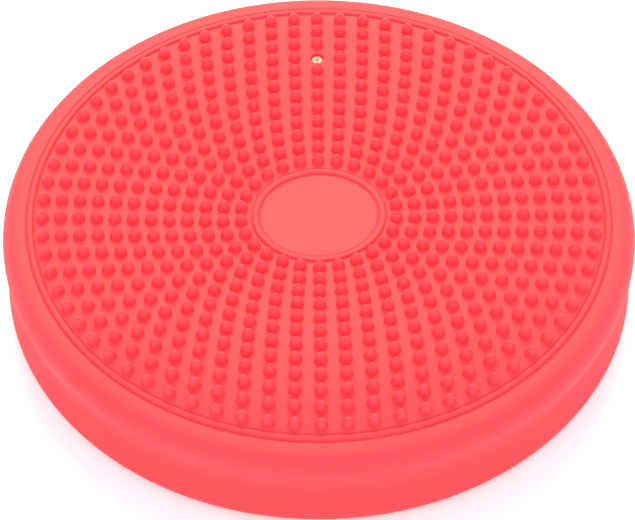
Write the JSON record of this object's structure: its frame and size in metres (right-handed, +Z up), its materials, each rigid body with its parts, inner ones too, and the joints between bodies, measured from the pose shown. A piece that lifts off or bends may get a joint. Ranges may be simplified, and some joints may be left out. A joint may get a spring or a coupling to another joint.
{
  "type": "balance pad",
  "caption": "Round air-filled balance pad of soft vinyl with rings of massage studs, a plain round plaque, a pinched waist and a needle valve.",
  "frame": {"origin": "on the floor under the middle of the pad", "axes": "+Z up through the pad, +Y towards the valve at the rear, +X to the right seen from the front"},
  "size_m": [0.33, 0.33, 0.0621],
  "materials": {
    "coral_vinyl": "satin soft vinyl",
    "cream_rubber": "matte"
  },
  "bodies": {
    "base": {"bottom_panel": "coral_vinyl", "lower_shoulder": "coral_vinyl"},
    "waist": {"waist_band": "coral_vinyl"},
    "shoulder": {"upper_shoulder": "coral_vinyl"},
    "top": {"top_panel": "coral_vinyl", "stud_field": "coral_vinyl", "valve_neck": "coral_vinyl", "valve_core": "cream_rubber"}
  },
  "joints": [
    {"name": "sink", "type": "slide", "parent": "base", "child": "waist", "axis": [0, 0, 1], "range_m": [-0.008, 0], "stiffness_N_per_m": 50000, "deforming": ["lower_shoulder"]},
    {"name": "rock_fore_aft", "type": "hinge", "parent": "waist", "child": "shoulder", "pos_m": [0, 0, 0.0254], "axis": [1, 0, 0], "range_deg": [-3, 3], "stiffness_Nm_per_rad": 300, "deforming": ["waist_band"]},
    {"name": "rock_side_to_side", "type": "hinge", "parent": "shoulder", "child": "top", "pos_m": [0, 0, 0.044], "axis": [0, 1, 0], "range_deg": [-3, 3], "stiffness_Nm_per_rad": 300, "deforming": ["upper_shoulder"]}
  ]
}
